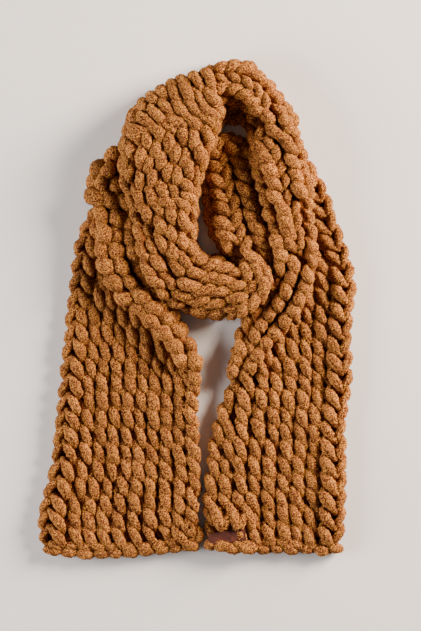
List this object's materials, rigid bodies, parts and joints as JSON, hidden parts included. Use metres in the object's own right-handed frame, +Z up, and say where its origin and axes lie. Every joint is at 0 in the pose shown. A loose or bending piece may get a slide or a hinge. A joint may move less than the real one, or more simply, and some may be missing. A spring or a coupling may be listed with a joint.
{
  "type": "knit scarf",
  "caption": "Long chunky knitted scarf in fluffy chenille yarn, laid flat and wound once as round a neck, with both tails hanging down side by side.",
  "frame": {"origin": "on the surface that the scarf lies on, below the middle of its outline", "axes": "+Z up from the surface, +Y from the hems towards the back of the neck wrap, +X from the left tail towards the right tail"},
  "size_m": [0.414, 0.646, 0.066],
  "materials": {
    "chenille_knit": "soft matt chenille pile, caramel brown",
    "label_leather": "smooth reddish brown leather, bare"
  },
  "bodies": {
    "root": {"left_tail": "chenille_knit", "left_fold": "chenille_knit", "left_hem": "chenille_knit", "under_layers": "chenille_knit", "inner_strand": "chenille_knit", "front_loop": "chenille_knit", "left_strand": "chenille_knit", "top_arch": "chenille_knit", "right_strand": "chenille_knit", "right_tail": "chenille_knit", "right_hem": "chenille_knit", "label": "label_leather"}
  },
  "joints": []
}
